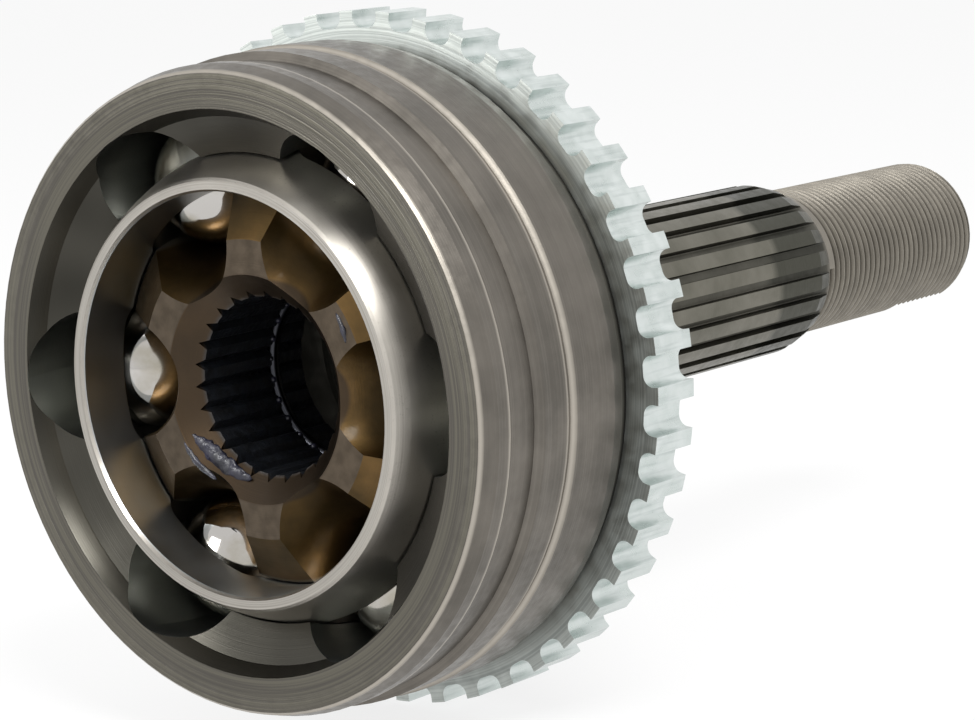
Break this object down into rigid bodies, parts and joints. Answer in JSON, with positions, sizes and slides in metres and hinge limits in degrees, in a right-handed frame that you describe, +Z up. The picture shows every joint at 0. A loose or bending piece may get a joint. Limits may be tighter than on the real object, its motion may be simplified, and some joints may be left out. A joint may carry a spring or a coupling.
{
  "type": "constant-velocity joint",
  "caption": "Outer driveshaft joint: ball-track bell on a splined, threaded stub axle, with a toothed wheel-speed ring, windowed ball cage and splined inner race.",
  "frame": {"origin": "joint centre, where the axes of the stub and the driveshaft cross", "axes": "+Y along the stub axle towards its threaded end, -Y out of the mouth of the bell, +Z up as the joint lies"},
  "size_m": [0.0976, 0.174, 0.0976],
  "materials": {
    "race_steel": "satin, dark phosphated and turned",
    "zinc_plate": "satin zinc plate",
    "cage_steel": "ground, oiled",
    "inner_steel": "hardened, oiled",
    "spring_steel": "oiled spring steel",
    "ball_chrome": "polished bearing steel"
  },
  "bodies": {
    "outer_race": {"outer_race": "race_steel", "abs_ring": "zinc_plate"},
    "cage": {"cage": "cage_steel"},
    "inner_race": {"inner_race": "inner_steel", "circlip": "spring_steel"},
    "ball_1": {"ball_1": "ball_chrome"},
    "ball_2": {"ball_2": "ball_chrome"},
    "ball_3": {"ball_3": "ball_chrome"},
    "ball_4": {"ball_4": "ball_chrome"},
    "ball_5": {"ball_5": "ball_chrome"},
    "ball_6": {"ball_6": "ball_chrome"}
  },
  "joints": [
    {"name": "shaft_articulation", "type": "hinge", "parent": "outer_race", "child": "inner_race", "pos_m": [0, 0, 0], "axis": [0, 0, 1], "range_deg": [-46, 46]},
    {"name": "cage_tilt", "type": "hinge", "parent": "outer_race", "child": "cage", "pos_m": [0, 0, 0], "axis": [0, 0, 1], "range_deg": [-23, 23]},
    {"name": "ball_1_track", "type": "hinge", "parent": "outer_race", "child": "ball_1", "pos_m": [0, -0.0045, 0], "axis": [0, 0, 1], "range_deg": [-23, 23]},
    {"name": "ball_2_track", "type": "hinge", "parent": "outer_race", "child": "ball_2", "pos_m": [0, -0.0045, 0], "axis": [-0.866, 0, 0.5], "range_deg": [-12, 12]},
    {"name": "ball_3_track", "type": "hinge", "parent": "outer_race", "child": "ball_3", "pos_m": [0, -0.0045, 0], "axis": [-0.866, 0, -0.5], "range_deg": [-12, 12]},
    {"name": "ball_4_track", "type": "hinge", "parent": "outer_race", "child": "ball_4", "pos_m": [0, -0.0045, 0], "axis": [0, 0, -1], "range_deg": [-23, 23]},
    {"name": "ball_5_track", "type": "hinge", "parent": "outer_race", "child": "ball_5", "pos_m": [0, -0.0045, 0], "axis": [0.866, 0, -0.5], "range_deg": [-12, 12]},
    {"name": "ball_6_track", "type": "hinge", "parent": "outer_race", "child": "ball_6", "pos_m": [0, -0.0045, 0], "axis": [0.866, 0, 0.5], "range_deg": [-12, 12]}
  ],
  "couplings": [
    {"joint": "cage_tilt", "follows": "shaft_articulation", "ratio": 0.5},
    {"joint": "ball_1_track", "follows": "shaft_articulation", "ratio": 0.5},
    {"joint": "ball_2_track", "follows": "shaft_articulation", "ratio": 0.2595},
    {"joint": "ball_3_track", "follows": "shaft_articulation", "ratio": -0.2595},
    {"joint": "ball_4_track", "follows": "shaft_articulation", "ratio": -0.5},
    {"joint": "ball_5_track", "follows": "shaft_articulation", "ratio": -0.2595},
    {"joint": "ball_6_track", "follows": "shaft_articulation", "ratio": 0.2595}
  ]
}
